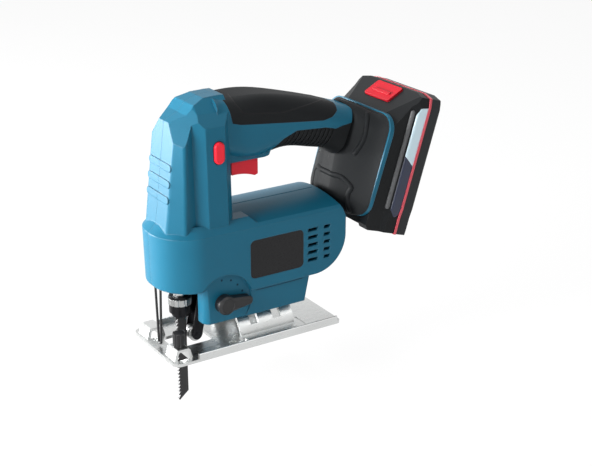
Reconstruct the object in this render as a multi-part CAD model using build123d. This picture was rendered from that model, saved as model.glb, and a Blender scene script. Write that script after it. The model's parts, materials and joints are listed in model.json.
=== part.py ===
from build123d import *
import math
import os

os.makedirs("parts", exist_ok=True)

# Driving sizes in millimetres. X runs rearward from the blade, minus Y is the left side, Z is up.
# The origin is where the blade axis meets the underside of the sole.
case_half_width = 28.0
case_wall = 2.6
skin_depth = 2.0
nose_front_low = -19.5
nose_front_high = -20.3
nose_corner = 25.5
nose_bottom = 44.5
ledge_height = 81.0
ledge_rise = 6.0
motor_half_width = 26.0
motor_top = 88.0
motor_axis_height = 63.0
motor_end_centre = 85.0
motor_end_radius = 24.0
skirt_front = 5.0
skirt_rear = 84.0
skirt_half_width = 26.0
skirt_bottom = 20.6
skirt_corner = 6.0
column_rear = 30.0
column_half_low = 24.5
column_half_high = 22.0
column_front_low = -15.6
column_front_high = -6.6
column_level_low = 80.0
column_level_high = 151.0
column_top = 164.0
handle_half_width = 18.0
handle_top_rear = 146.5
handle_under = 120.4
pack_tilt = 17.0
trim_face = 96.6
trim_depth = 3.2
trim_low = 103.8
trim_high = 173.8
trim_half_low = 34.5
trim_half_high = 36.5
trim_corner = 12.0
pack_half_width = 35.0
pack_low = 96.6
pack_high = 191.2
pack_back = 132.4
pack_split = 120.4
pack_stripe_width = 1.8
cell_radius = 9.0
cell_length = 65.0
cell_pitch = 18.05
sole_front = -20.0
sole_rear = 104.5
sole_half_width = 30.5
sole_sheet = 2.0
rail_height = 5.5
saddle_front = 33.5
saddle_rear = 74.0
saddle_sheet = 2.2
bevel_limit = 30.0
stroke = 18.0
plunger_radius = 4.75
blade_width = 7.4
blade_thickness = 1.2
blade_tip = -41.0
tooth_pitch = 2.5
gear_teeth = 40
pinion_teeth = 10
gear_module = 0.9
gear_front = 17.0
gear_width = 7.0
shaft_radius = 2.5
trigger_travel = 5.0
button_travel = 1.2
lock_travel = 3.0

# Clearances.
running_gap = 0.05
moving_gap = 0.35
seat_gap = 0.3
pin_gap = 0.4

gear_axis_height = motor_axis_height + gear_module * (gear_teeth + pinion_teeth) / 2
crank_radius = stroke / 2
yoke_height = gear_axis_height - crank_radius
saddle_radius = skirt_bottom - seat_gap
inner_depth = case_wall + skin_depth


def side_face(points):
    """Closed side outline in X and Z."""
    return Plane.XZ * make_face(Polyline(*points, close=True))


def slab_y(points, half):
    """Side outline extruded equally to both sides of the middle plane."""
    return extrude(side_face(points), amount=half, both=True)


def bar_y(x, z, radius, y_from, y_to):
    """Round bar along Y."""
    middle = (y_from + y_to) / 2
    return Pos(x, middle, z) * Rot(90, 0, 0) * Cylinder(radius, abs(y_to - y_from))


def bar_x(y, z, radius, x_from, x_to):
    """Round bar along X."""
    middle = (x_from + x_to) / 2
    return Pos(middle, y, z) * Rot(0, 90, 0) * Cylinder(radius, abs(x_to - x_from))


def bar_z(x, y, radius, z_from, z_to):
    """Round bar along Z."""
    return Pos(x, y, (z_from + z_to) / 2) * Cylinder(radius, abs(z_to - z_from))


def block(x_from, x_to, y_from, y_to, z_from, z_to):
    """Box given by its faces."""
    middle = ((x_from + x_to) / 2, (y_from + y_to) / 2, (z_from + z_to) / 2)
    return Pos(*middle) * Box(x_to - x_from, y_to - y_from, z_to - z_from)


def cross_section(low, high, half, radius, inset):
    """Rounded rectangle standing across the tool between two side-view points."""
    run = high[0] - low[0]
    rise = high[1] - low[1]
    length = math.hypot(run, rise)
    middle = ((low[0] + high[0]) / 2, 0, (low[1] + high[1]) / 2)
    up = (run / length, 0, rise / length)
    facing = (up[2], 0, -up[0])
    plane = Plane(origin=middle, x_dir=(0, 1, 0), z_dir=facing)
    width = 2 * (half - inset)
    height = length - 2 * inset
    corner = max(radius - inset * 0.6, 1.0)
    return plane * RectangleRounded(width, height, corner)


def one_solid(shape):
    """Largest solid of a shape, for cuts that shave off slivers."""
    return max(shape.solids(), key=lambda s: s.volume)


def shaving(first, second, third, inset):
    """Block above the plane through three points, sunk by the inset, for bevelling a corner."""
    start = Vector(*first)
    along = Vector(*second) - start
    facing = along.cross(Vector(*third) - start)
    if facing.Z < 0:
        facing = facing * -1
    plane = Plane(origin=start, x_dir=along, z_dir=facing)
    return plane.offset(20 - inset) * Box(150, 150, 40)


def nose_plan(front, inset):
    """Plan of the gear case nose with its two rounded corners."""
    x_front = front + inset
    x_back = 45.0
    half = case_half_width - inset
    plan = Pos((x_front + x_back) / 2, 0) * Rectangle(x_back - x_front, 2 * half)
    return fillet(plan.vertices().group_by(Axis.X)[0], nose_corner - inset)


def nose_form(inset):
    """Gear case nose that leans forward as it rises, with the sloped ledge on top."""
    low = Pos(0, 0, nose_bottom + inset) * nose_plan(nose_front_low, inset)
    top_height = ledge_height - 0.1 * inset
    high = Pos(0, 0, top_height) * nose_plan(nose_front_high, inset)
    body = loft([low, high], ruled=True)
    if inset > 0:
        return body
    floor_edges = body.edges().group_by(Axis.Z)[0].filter_by(lambda e: e.center().X < 44)
    body = fillet(floor_edges, 2.0)
    cap = Pos(0, 0, ledge_height) * nose_plan(nose_front_high, 0)
    return body + extrude(cap, amount=ledge_rise, taper=45)


def motor_form(inset):
    """Motor housing: shouldered section along X, cut to a round rear end."""
    half = case_half_width - inset
    upper = motor_half_width - inset
    floor = motor_axis_height - motor_end_radius + inset
    top = motor_top - inset
    step = ledge_height - 0.4 * inset
    shoulder = step + 2.0
    edges = [Polyline((-upper, shoulder), (-half, step), (-half, floor), (half, floor), (half, step))]
    edges += [Line((half, step), (upper, shoulder))]
    edges += [ThreePointArc((upper, shoulder), (0, top), (-upper, shoulder))]
    section = make_face(edges)
    bar = extrude(Plane.YZ.offset(20) * section, amount=100)
    radius = motor_end_radius - inset
    start = (motor_end_centre, motor_axis_height - radius)
    turn = math.radians(45)
    bend = (motor_end_centre + radius * math.cos(turn), motor_axis_height - radius * math.sin(turn))
    end = (motor_end_centre + radius, motor_axis_height)
    high = (motor_end_centre + radius, motor_axis_height + 12)
    back = (motor_end_centre + 14, motor_top + 10)
    wire = [Line((10, start[1]), start), ThreePointArc(start, bend, end), Line(end, high)]
    wire += [Line(high, back), Line(back, (10, back[1])), Line((10, back[1]), (10, start[1]))]
    side = extrude(Plane.XZ * make_face(wire), amount=60, both=True)
    return bar & side


def skirt_form(inset):
    """Lower skirt over the bevel saddle, drawn in slightly towards its lower edge."""
    half = skirt_half_width - inset
    faces = []
    for level, draw, lean in ((skirt_bottom + inset, 0.8, 5.4), (nose_bottom + 4, 0.0, 0.0)):
        x_from = skirt_front + inset
        x_to = skirt_rear - inset - lean
        plan = Pos((x_from + x_to) / 2, 0) * Rectangle(x_to - x_from, 2 * (half - draw))
        plan = fillet(plan.vertices().group_by(Axis.X)[0], skirt_corner - 0.5 * inset)
        faces.append(Pos(0, 0, level) * plan)
    return loft(faces, ruled=True)


def column_plan(front, edge, half, inset):
    """Plan of the front column with its side grooves and bevelled rear corners."""
    rear = column_rear
    right = [(front, 14.0), (edge, half - 0.8), (3.2, half - 4.8), (10.0, half), (23.5, half)]
    right += [(rear - 1.2, half - 5), (rear, half - 7)]
    left = [(x, -y) for x, y in reversed(right)]
    plan = make_face(Polyline(*right, *left, close=True))
    corners = plan.vertices().filter_by(lambda v: abs(v.X - edge) < 0.01)
    plan = fillet(corners, 2.5)
    fronts = plan.vertices().filter_by(lambda v: abs(v.X - front) < 0.01)
    plan = fillet(fronts, 4.0)
    if inset > 0:
        plan = offset(plan, amount=-inset, kind=Kind.INTERSECTION)
    return plan


def column_form(inset):
    """Front column: leaning plan, stepped top and faceted shoulders."""
    rise = column_level_high - column_level_low
    lean = (column_front_high - column_front_low) / rise
    draw = (column_half_high - column_half_low) / rise
    stretch = 14.0
    top_front = column_front_high + lean * stretch
    top_half = column_half_high + draw * stretch
    low = Pos(0, 0, column_level_low) * column_plan(column_front_low, -6.0, column_half_low, inset)
    high = Pos(0, 0, column_level_high + stretch) * column_plan(top_front, -3.0, top_half, inset)
    body = loft([low, high], ruled=True)
    top = column_top - inset
    steps = [(-40, 60), (-40, top - 27), (-6.5, top - 13.0), (2.4, top - 8.7), (7.8, top - 3.2)]
    steps += [(16, top - 0.3), (26, top), (40, top - 0.6), (40, 60)]
    side = slab_y(steps, 40)
    tall = column_top - inset
    half = column_half_high - inset
    right = [(half + 12, 60), (half + 12, tall - 31), (half + 1.2, tall - 17.5), (half - 5, tall - 8)]
    right += [(half - 13, tall - 0.6), (half - 16, tall + 6)]
    left = [(-y, z) for y, z in reversed(right)]
    section = make_face(Polyline(*right, *left, close=True))
    across = extrude(Plane.YZ.offset(-50) * section, amount=100)
    form = body & side & across
    top = column_top
    for hand in (-1, 1):
        step_low = [(-6.5, 12 * hand, top - 13), (-5.2, 22 * hand, top - 21), (2.4, 14 * hand, top - 8.7)]
        step_high = [(2.4, 12 * hand, top - 8.7), (7.3, 24 * hand, top - 16), (7.8, 13 * hand, top - 3.2)]
        form = form - shaving(*step_low, inset) - shaving(*step_high, inset)
    return form


def handle_form(inset):
    """Closed handle, swept through rounded sections from the column to the rear neck."""
    half = handle_half_width
    under = handle_under
    sections = [
        cross_section((19.0, under + 2.0), (21.0, column_top - 0.8), half, 8.0, inset),
        cross_section((44.0, under + 1.0), (46.0, column_top - 2.4), half + 0.4, 9.0, inset),
        cross_section((59.0, under + 1.8), (64.0, column_top - 4.6), half, 10.0, inset),
        cross_section((72.0, under + 2.8), (79.0, column_top - 8.0), half - 0.4, 11.5, inset),
        cross_section((86.0, under + 0.6), (96.0, column_top - 12.6), half - 0.6, 12.0, inset),
        cross_section((99.0, under - 2.4), (112.0, handle_top_rear - 0.2), half - 1.0, 12.0, inset),
        cross_section((112.5, under - 9.5), (124.5, handle_top_rear - 3.2), half - 2.0, 12.0, inset),
    ]
    return loft(sections)


def tilted(n, u):
    """Side-view point from its distance along and up the tilted pack frame."""
    turn = math.radians(pack_tilt)
    x = n * math.cos(turn) + u * math.sin(turn)
    z = u * math.cos(turn) - n * math.sin(turn)
    return (x, z)


def lean_back(shape):
    """Turns a shape built in the pack frame into its place on the tool."""
    return Rot(0, pack_tilt, 0) * shape


def boot_form(inset):
    """Rear neck that flares from the handle and motor end to the pack rim."""
    mouth = trim_face - trim_depth
    half = (trim_half_low + trim_half_high) / 2 - 0.8
    top = handle_top_rear
    near = mouth - 5
    first = 107.5 + inset
    second = 109.0 + 0.9 * inset
    third = 111.0 + 0.55 * inset
    sections = [
        cross_section((first, 76.5), (first + 14.0, top - 0.8), 6.0 + 0.4 * inset, 4.5, inset),
        cross_section((second, 76.2), (second + 14.5, top - 1.8), 11.5, 8.0, inset),
        cross_section((third, 76.0), (third + 15.5, top - 2.8), 16.5, 10.5, inset),
        cross_section(tilted(near, trim_low), tilted(near, trim_high - 1.6), 0.76 * half, 12.0, inset),
        cross_section(tilted(mouth, trim_low + 0.6), tilted(mouth, trim_high - 0.8), half, 10.5, inset),
    ]
    if inset > skin_depth:
        return loft([sections[1], sections[3], sections[4]], ruled=True)
    return loft(sections)


def trim_form():
    """Rim plate that carries the pack rails, a little wider at its top."""
    points = [(-trim_half_low, trim_low), (trim_half_low, trim_low)]
    points += [(trim_half_high, trim_high), (-trim_half_high, trim_high)]
    face = make_face(Polyline(*points, close=True))
    face = fillet(face.vertices(), trim_corner)
    plate = extrude(Plane.YZ.offset(trim_face - trim_depth) * face, amount=trim_depth)
    return lean_back(plate)


# Outer form and hollow of the two housing halves.
nose = nose_form(0)
motor_case = motor_form(0)
column = column_form(0)
handle = handle_form(0)
boot = boot_form(0)
brow_half = 12.6
brow_points = [(20, handle_under + 14), (20, handle_under - 0.8), (57.0, handle_under - 0.8)]
brow_points += [(60.0, handle_under + 0.6), (66.0, handle_under + 14)]
brow = slab_y(brow_points, brow_half)
brow = fillet(brow.edges().filter_by(Axis.X).group_by(Axis.Z)[0], 2.0)
outer = nose + motor_case + skirt_form(0) + column + handle + boot + trim_form() + brow
hollow = nose_form(case_wall) + motor_form(case_wall) + skirt_form(case_wall)
hollow = hollow + column_form(case_wall)
hollow = hollow + handle_form(inner_depth)
hollow = hollow + boot_form(inner_depth)
shell = outer - hollow


def column_front(level):
    """Front face position of the column at a height."""
    share = (level - column_level_low) / (column_level_high - column_level_low)
    return column_front_low + share * (column_front_high - column_front_low)


# Three raised ribs across the front of the column.
rib_tilt = math.atan2(column_front_high - column_front_low, column_level_high - column_level_low)
for rib_height in (104.0, 114.0, 124.0):
    rib_origin = (column_front(rib_height) + 1.5, 0, rib_height)
    rib_facing = (-math.cos(rib_tilt), 0, math.sin(rib_tilt))
    rib_plane = Plane(origin=rib_origin, x_dir=(0, -1, 0), z_dir=rib_facing)
    shell = shell + extrude(rib_plane * SlotOverall(28.6, 4.6), amount=2.0)

# Soft skins: top pad, palm grip under the handle, and the rear neck cover.
handle_skin = handle - handle_form(skin_depth) - brow
pad_zone = [(25.5, 172), (31, 147.4), (36.5, 145.8), (80, 140.6), (98, 138.6), (105, 139.6)]
pad_zone += [(110.5, 142.6), (112.5, 147), (112.5, 172)]
top_grip = one_solid((handle_skin & slab_y(pad_zone, 40)) - column)
palm_zone = [(61, 100), (61, 125.5), (68, 131.5), (78, 135.2), (100, 133.6), (108, 131.5)]
palm_zone += [(113, 132.5), (130, 134), (130, 100)]
palm_grip = one_solid((handle_skin & slab_y(palm_zone, 40)) - boot)
ridge_step = 3.4
ridges = None
for ridge in range(11):
    ridge_x = 67.0 + ridge * ridge_step
    groove = Pos(ridge_x, 0, handle_under) * Rot(0, 24, 0) * Box(1.0, 60, 40)
    ridges = groove if ridges is None else ridges + groove
palm_grip = palm_grip - (ridges - handle_form(0.8))
palm_grip = one_solid(palm_grip)
end_round = bar_y(motor_end_centre, motor_axis_height, motor_end_radius + 2.5, -60, 60)
boot_skin = boot - boot_form(skin_depth) - handle - end_round - motor_case
boot_cover = one_solid(boot_skin)
shell = shell - top_grip - (handle_skin & slab_y(palm_zone, 40)) - boot_cover

# Solid seats inside the shell.
bush_radius = 8.0
lower_bush_low = 55.0
lower_bush_high = 66.0
upper_bush_low = 112.0
upper_bush_high = 122.0
plunger_top = 128.0
can_radius = 20.0
can_front = 40.0
can_rear = 84.0
bearing_radius = 6.5
seat = bar_z(0, 0, bush_radius + 3.5, lower_bush_low, lower_bush_high)
seat = seat + block(-24, 2, -3, 3, lower_bush_low, lower_bush_high)
seat = seat + block(-6, 6, -30, 30, lower_bush_low + 2, lower_bush_high - 2)
seat = seat + bar_z(0, 0, bush_radius + 3.5, upper_bush_low, upper_bush_high)
seat = seat + block(-6, 6, -30, 30, upper_bush_low + 2, upper_bush_high - 2)
seat = seat + block(-16, 2, -3, 3, upper_bush_low, upper_bush_high)
for ring_x in (50.0, 74.0):
    seat = seat + block(ring_x, ring_x + 3, -40, 40, 36, 100)
seat = seat + block(96, 101, -12, 12, 40, 92)
dial_x = 18.0
dial_height = 33.4
dial_radius = 20.0
dial_floor = -24.6
seat = seat + bar_y(dial_x, dial_height, dial_radius + 1.8, dial_floor - 5, dial_floor + 2.6)
pocket_half = 15.0
pocket_back = 22.0
seat = seat + block(0, pocket_back + case_wall, -pocket_half - case_wall, pocket_half + case_wall, 18, 48)
guard_x = -15.2
guard_spread = 4.0
seat = seat + block(-21, -11.5, -8, 8, nose_bottom, nose_bottom + 9)
saddle_screw_x = (45.0, 62.0)
for screw_x in saddle_screw_x:
    seat = seat + bar_z(screw_x, 0, 6.0, skirt_bottom, skirt_bottom + 15)
    seat = seat + block(screw_x - 1.5, screw_x + 1.5, -30, 30, skirt_bottom, skirt_bottom + 6)
boss_places = [(25.5, 110.0), (36.0, 30.0), (78.0, 32.0), (92.0, 44.5), (72.0, 137.6), (120.5, 106.0)]
boss_radius = 3.8
for boss_x, boss_z in boss_places:
    seat = seat + bar_y(boss_x, boss_z, boss_radius, -45, 45)
frame_front = gear_front + gear_width + 0.8
frame_back = frame_front + 2.4
frame_half = 16.0
frame_low = motor_axis_height - 11
frame_high = gear_axis_height + 16
frame_block = block(frame_front, frame_back, -frame_half, frame_half, frame_low, frame_high)
grip_low = motor_axis_height - 9
grip_high = motor_axis_height - 1
frame_grip = block(frame_front - 2, frame_back + 2, -30, 30, grip_low, grip_high)
frame_grip = frame_grip - block(frame_front - 3, frame_back + 3, -12, 12, grip_low - 1, grip_high + 1)
seat = seat + (frame_grip - frame_block)
trigger_x = (35.0, 54.0)
trigger_half = 8.6
trigger_low = 108.6
trigger_top = 126.0
switch_low = trigger_top + trigger_travel + 0.6
switch_high = switch_low + 15.0
switch = block(trigger_x[0] - 2, trigger_x[1] + 10, -9, 9, switch_low, switch_high)
for holder_x in (trigger_x[0] + 1, trigger_x[1] + 4):
    holder = block(holder_x, holder_x + 2.4, -30, 30, switch_low, switch_high + 2)
    seat = seat + (holder - switch)
board_back = trim_face - trim_depth - 3.2
board_sheet = 1.6
board_half = 16.0
board_low = 122.0
board_high = 160.0
for post_u in (board_low + 2, board_high - 6):
    for post_y in (-board_half + 2, board_half - 6):
        post = block(board_back, trim_face - 1, post_y, post_y + 4, post_u, post_u + 4)
        seat = seat + lean_back(post)
outer_trim = nose + motor_case + skirt_form(0) + column + handle_form(skin_depth) + boot_form(skin_depth)
outer_trim = outer_trim + trim_form()
shell = shell + (seat & outer_trim)

# Bores and cut-outs.
cuts = bar_z(0, 0, bush_radius, lower_bush_low, lower_bush_high)
cuts = cuts + bar_z(0, 0, bush_radius, upper_bush_low, upper_bush_high)
nose_mouth = 10.0
cuts = cuts + bar_z(0, 0, nose_mouth, nose_bottom - 5, lower_bush_low)
cuts = cuts + bar_z(0, 0, plunger_radius + 1.0, lower_bush_high - 1, plunger_top + stroke + 1)
cuts = cuts + bar_x(0, motor_axis_height, can_radius, can_front - 12, can_rear + 6)
cuts = cuts + bar_x(0, motor_axis_height, bearing_radius, 80, 101)
cuts = cuts + block(-2, pocket_back, -pocket_half, pocket_half, 10, nose_bottom + 0.4)
recess = bar_y(dial_x, dial_height, dial_radius, dial_floor - 10, dial_floor)
cuts = cuts + recess
shaft_hole = 4.0
cuts = cuts + bar_y(dial_x, dial_height, shaft_hole + running_gap, -30, -pocket_half + 2)
plate_x = (36.6, 76.2)
plate_z = (46.4, 72.4)
plate_corner = 3.5
plate_depth = 0.8


def name_plate(depth_from, depth_to, inset):
    """Rounded plate on the left wall between two depths."""
    width = plate_x[1] - plate_x[0] - 2 * inset
    height = plate_z[1] - plate_z[0] - 2 * inset
    middle = ((plate_x[0] + plate_x[1]) / 2, -depth_to, (plate_z[0] + plate_z[1]) / 2)
    plane = Plane(origin=middle, x_dir=(1, 0, 0), z_dir=(0, -1, 0))
    face = plane * RectangleRounded(width, height, plate_corner)
    return extrude(face, amount=-(depth_to - depth_from))


mirror_y = Plane.XZ
plate_pocket = name_plate(case_half_width - plate_depth, case_half_width + 2, 0)
cuts = cuts + plate_pocket + mirror(plate_pocket, about=mirror_y)
vent_rows = (48.7, 53.9, 59.1, 64.3, 69.5)
vent_height = 2.3
for vent_z in vent_rows:
    for vent_from, vent_to in ((79.2, 87.6), (91.4, 97.0)):
        vent_side = [(vent_from, vent_z), (vent_to - 0.8, vent_z)]
        vent_side += [(vent_to, vent_z + vent_height), (vent_from + 0.8, vent_z + vent_height)]
        vent = Pos(0, -case_half_width, 0) * slab_y(vent_side, 4.5)
        cuts = cuts + vent + mirror(vent, about=mirror_y)
lock_x = 18.6
lock_height = 132.0
lock_size = (7.0, 14.0)
lock_face = -24.4
lock_plane = Plane(origin=(lock_x, -32, lock_height), x_dir=(0, 0, 1), z_dir=(0, 1, 0))
lock_slot = SlotOverall(lock_size[1] + 2 * moving_gap, lock_size[0] + 2 * moving_gap)
cuts = cuts + extrude(lock_plane * lock_slot, amount=18)
cuts = cuts + block(
    trigger_x[0] - moving_gap,
    trigger_x[1] + moving_gap,
    -trigger_half - moving_gap,
    trigger_half + moving_gap,
    105,
    trigger_top + trigger_travel + 0.3,
)
wire_radius = 0.8
wire_bend = 1.6
wire_low = 5.6
wire_top = nose_bottom + 6
wire_lean = math.atan2(guard_spread - wire_bend, wire_top - wire_low)
touch = (wire_bend * math.cos(wire_lean), wire_low - wire_bend * math.sin(wire_lean))
reach = (wire_top - touch[1]) * math.tan(wire_lean)
leg_top = touch[0] + reach
near_touch = (guard_x, -touch[0], touch[1])
far_touch = (guard_x, touch[0], touch[1])
wire_path = Wire([
    Line((guard_x, -leg_top, wire_top), near_touch),
    ThreePointArc(near_touch, (guard_x, 0, wire_low - wire_bend), far_touch),
    Line(far_touch, (guard_x, leg_top, wire_top)),
])
wire_start = Plane(origin=wire_path @ 0, z_dir=wire_path % 0)
guard_wire = sweep(wire_start * Circle(wire_radius), path=wire_path)
cuts = cuts + guard_wire
saddle_screw_radius = 2.5
for screw_x in saddle_screw_x:
    cuts = cuts + bar_z(screw_x, 0, saddle_screw_radius, 10, skirt_bottom + 12)
pivot_x = 16.0
pivot_height = 39.5
pivot_radius = 2.0
cuts = cuts + bar_y(pivot_x, pivot_height, pivot_radius, -pocket_half - 2, pocket_half + 2)
screw_radius = 1.5
screw_head = 3.0
screw_reach = -9.0
screw_seat = []
head_bores = []
for boss_x, boss_z in boss_places:
    stack = bar_y(boss_x, boss_z, 0.5, 0, 50) & outer_trim
    edge = max(v.Y for v in stack.vertices())
    seat_y = edge - 5.0
    screw_seat.append(seat_y)
    cuts = cuts + bar_y(boss_x, boss_z, screw_radius, screw_reach, seat_y + 1)
    head_bores.append(bar_y(boss_x, boss_z, screw_head, seat_y, 60))
    cuts = cuts + head_bores[-1]
shell = shell - cuts

# Pack rails on the rear rim.
rail_low = trim_low + 3
rail_high = 160.0
rail_stem = (20.0, 23.0)
rail_head = 27.0
rail_step = 4.0
rail_tip = 7.0
rails = block(trim_face - 1, trim_face + rail_step, rail_stem[0], rail_stem[1], rail_low, rail_high)
hook = (trim_face + rail_step, trim_face + rail_tip)
rails = rails + block(hook[0], hook[1], rail_stem[0], rail_head, rail_low, rail_high)
rails = lean_back(rails)
shell = shell + rails + mirror(rails, about=mirror_y)
seam_width = 0.9
seam = Pos(65, 0, motor_top + 0.1) * Rot(45, 0, 0) * Box(72, seam_width, seam_width)
left_half = one_solid((shell & block(-100, 300, -100, 0, -100, 300)) - seam)
right_half = one_solid((shell & block(-100, 300, 0, 100, -100, 300)) - seam)
parts = {}


def keep(name, shape):
    """Stores one node under its name."""
    parts[name] = shape


keep("left_housing", left_half)
keep("right_housing", right_half)
keep("top_grip", top_grip)
keep("palm_grip", palm_grip)
keep("left_neck_cover", one_solid(boot_cover & block(-100, 300, -100, 0, -100, 300)))
keep("right_neck_cover", one_solid((boot_cover & block(-100, 300, 0, 100, -100, 300)) - head_bores[-1]))
left_plate = name_plate(case_half_width - plate_depth, case_half_width - 0.1, 0)
keep("left_nameplate", left_plate)
keep("right_nameplate", mirror(left_plate, about=mirror_y))

# Housing screws, driven from the right side.
for number, (boss_x, boss_z) in enumerate(boss_places):
    seat_y = screw_seat[number]
    screw = bar_y(boss_x, boss_z, screw_radius, screw_reach, seat_y)
    screw = screw + bar_y(boss_x, boss_z, screw_head - 0.2, seat_y, seat_y + 2.4)
    drive = Pos(boss_x, seat_y + 2.4, boss_z) * (Box(3.6, 2.4, 0.8) + Box(0.8, 2.4, 3.6))
    keep("housing_screw_" + str(number + 1), screw - drive)

keep("guard_wire", guard_wire)

# Plunger guides.
bush_ring = bar_z(0, 0, bush_radius, lower_bush_low, lower_bush_high)
keep("lower_bush", bush_ring - bar_z(0, 0, plunger_radius + running_gap, 40, 80))
bush_ring = bar_z(0, 0, bush_radius, upper_bush_low, upper_bush_high)
keep("upper_bush", bush_ring - bar_z(0, 0, plunger_radius + running_gap, 100, 140))
seal = bar_z(0, 0, nose_mouth, lower_bush_low - 1.6, lower_bush_low)
keep("dust_seal", seal - bar_z(0, 0, plunger_radius + running_gap, 40, 80))

# Motor.
can_sheet = 1.5
can = bar_x(0, motor_axis_height, can_radius, can_front, can_rear)
can = can - bar_x(0, motor_axis_height, can_radius - can_sheet, can_front + 2.5, can_rear + 1)
nose_ring = bar_x(0, motor_axis_height, 8.0, can_front - 5, can_front)
can = can + nose_ring
can = can - bar_x(0, motor_axis_height, bearing_radius, can_front - 6, can_front + 3)
keep("motor_can", can)
magnet = bar_x(0, motor_axis_height, can_radius - can_sheet, can_front + 8, can_front + 34)
magnet = magnet - bar_x(0, motor_axis_height, 15.0, 0, 200)
keep("field_magnet", magnet)
cap = bar_x(0, motor_axis_height, can_radius - can_sheet, can_rear - 3, can_rear)
keep("motor_end_cap", cap - bar_x(0, motor_axis_height, 9.0, can_rear - 4, can_rear + 1))
ball_bore = shaft_radius
front_ring = bar_x(0, motor_axis_height, bearing_radius, can_front - 5, can_front)
keep("front_bearing", front_ring - bar_x(0, motor_axis_height, ball_bore + running_gap, 0, 200))
rear_ring = bar_x(0, motor_axis_height, bearing_radius, 96.0, 101.0)
keep("rear_bearing", rear_ring - bar_x(0, motor_axis_height, ball_bore + running_gap, 0, 200))
keep("motor_shaft", bar_x(0, motor_axis_height, shaft_radius, gear_front - 0.5, 101.5))
bore = bar_x(0, motor_axis_height, shaft_radius, 0, 200)
core = bar_x(0, motor_axis_height, 14.4, can_front + 9, can_front + 33)
for slot in range(7):
    turn = Rot(slot * 360 / 7, 0, 0)
    core = core - Pos(0, 0, motor_axis_height) * turn * block(40, 80, -1.2, 1.2, 9.5, 20)
keep("rotor_core", core - bore)
keep("commutator", bar_x(0, motor_axis_height, 6.0, can_front + 35, can_front + 41) - bore)
fan_radius = 13.4
fan = bar_x(0, motor_axis_height, 6.0, 86.5, 92.5)
fan = fan + bar_x(0, motor_axis_height, fan_radius, 86.5, 87.7)
for vane in range(9):
    turn = Rot(vane * 40, 0, 0)
    fan = fan + Pos(0, 0, motor_axis_height) * turn * block(87.5, 92.5, -0.6, 0.6, 4, fan_radius - 0.3)
keep("cooling_fan", fan - bore)


def toothed(count, pitch_radius, height_out, height_in, slack, phase):
    """Gear outline with straight flanks, thinned for running slack."""
    points = []
    step = 2 * math.pi / count
    half = (math.pi * gear_module / 2 - slack) / 2 / pitch_radius
    flank = math.tan(math.radians(20))
    tip = half - height_out * flank / pitch_radius
    root = half + height_in * flank / pitch_radius
    for tooth in range(count):
        middle = tooth * step + phase
        for angle, radius in (
            (-root, pitch_radius - height_in),
            (-tip, pitch_radius + height_out),
            (tip, pitch_radius + height_out),
            (root, pitch_radius - height_in),
        ):
            points.append((radius * math.cos(middle + angle), radius * math.sin(middle + angle)))
    return make_face(Polyline(*points, close=True))


pitch_gear = gear_module * gear_teeth / 2
pitch_pinion = gear_module * pinion_teeth / 2
tooth_out = 0.75 * gear_module
tooth_in = 1.05 * gear_module
tooth_slack = 0.32
gear_plane = Plane(origin=(gear_front, 0, gear_axis_height), x_dir=(0, 1, 0), z_dir=(1, 0, 0))
pinion_plane = Plane(origin=(gear_front, 0, motor_axis_height), x_dir=(0, 1, 0), z_dir=(1, 0, 0))
gear_face = toothed(gear_teeth, pitch_gear, tooth_out, tooth_in, tooth_slack, -math.pi / 2)
pinion_phase = math.pi / 2 + math.pi / pinion_teeth
pinion_face = toothed(pinion_teeth, pitch_pinion, tooth_out, tooth_in, tooth_slack, pinion_phase)
axle_radius = 3.0
wheel = extrude(gear_plane * gear_face, amount=gear_width)
wheel = wheel - bar_x(0, gear_axis_height, axle_radius + running_gap, 0, 100)
dish = bar_x(0, gear_axis_height, 14.5, gear_front + 4, gear_front + 9)
dish = dish - bar_x(0, gear_axis_height, 6.0, 0, 100)
wheel = wheel - dish
pin_radius = 3.4
pin_hole = bar_x(0, yoke_height, pin_radius, gear_front - 1, gear_front + 2.5)
keep("drive_gear", wheel - pin_hole)
keep("pinion", extrude(pinion_plane * pinion_face, amount=gear_width) - bore)
yoke_back = 9.5
keep("crank_pin", bar_x(0, yoke_height, pin_radius, yoke_back + pin_gap, gear_front + 2.5))
frame = fillet(frame_block.edges().filter_by(Axis.X).group_by(Axis.Z)[-1], 4.0)
frame = frame - bar_x(0, motor_axis_height, shaft_radius + 1.0, 0, 100)
axle = bar_x(0, gear_axis_height, axle_radius, gear_front - 1.6, frame_back)
axle = axle + bar_x(0, gear_axis_height, axle_radius + 1.4, gear_front - 1.6, gear_front - 0.5)
keep("gear_frame", frame + axle)

# Plunger, yoke, blade clamp and blade.
clamp_top = 34.8
clamp_low = 20.5
keep("plunger_rod", bar_z(0, 0, plunger_radius, clamp_top, plunger_top))
yoke = block(plunger_radius + 0.25, yoke_back, -15.5, 15.5, yoke_height - 7.5, yoke_height + 7.5)
yoke = yoke + bar_z(0, 0, 7.5, yoke_height - 7.5, yoke_height + 7.5)
slot_half = crank_radius + pin_radius + 1.0
yoke_slot = block(plunger_radius + 1.2, 20, -slot_half, slot_half, yoke_height - 3.7, yoke_height + 3.7)
keep("yoke_plate", yoke - yoke_slot - bar_z(0, 0, plunger_radius, 0, 200))
blade_front = -blade_width / 2
blade_back = blade_width / 2
shank_top = clamp_top - 2.5
teeth_top = 18.0
tooth_depth = 1.5
blade_side = [(blade_back, shank_top), (blade_front, shank_top), (blade_front, shank_top - 2.5)]
blade_side += [(blade_front + 1.6, shank_top - 2.5), (blade_front + 1.6, teeth_top + 5.0)]
blade_side += [(blade_front, teeth_top + 2.0)]
level = teeth_top
while level - tooth_pitch > blade_tip + 1.0:
    blade_side += [(blade_front, level), (blade_front + tooth_depth, level - 0.5)]
    level -= tooth_pitch
blade_side += [(blade_front, level), (blade_front + 0.8, blade_tip), (blade_back, blade_tip + 5.6)]
blade_side += [(blade_back, teeth_top + 5.0), (blade_back - 1.6, teeth_top + 5.0)]
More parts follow.
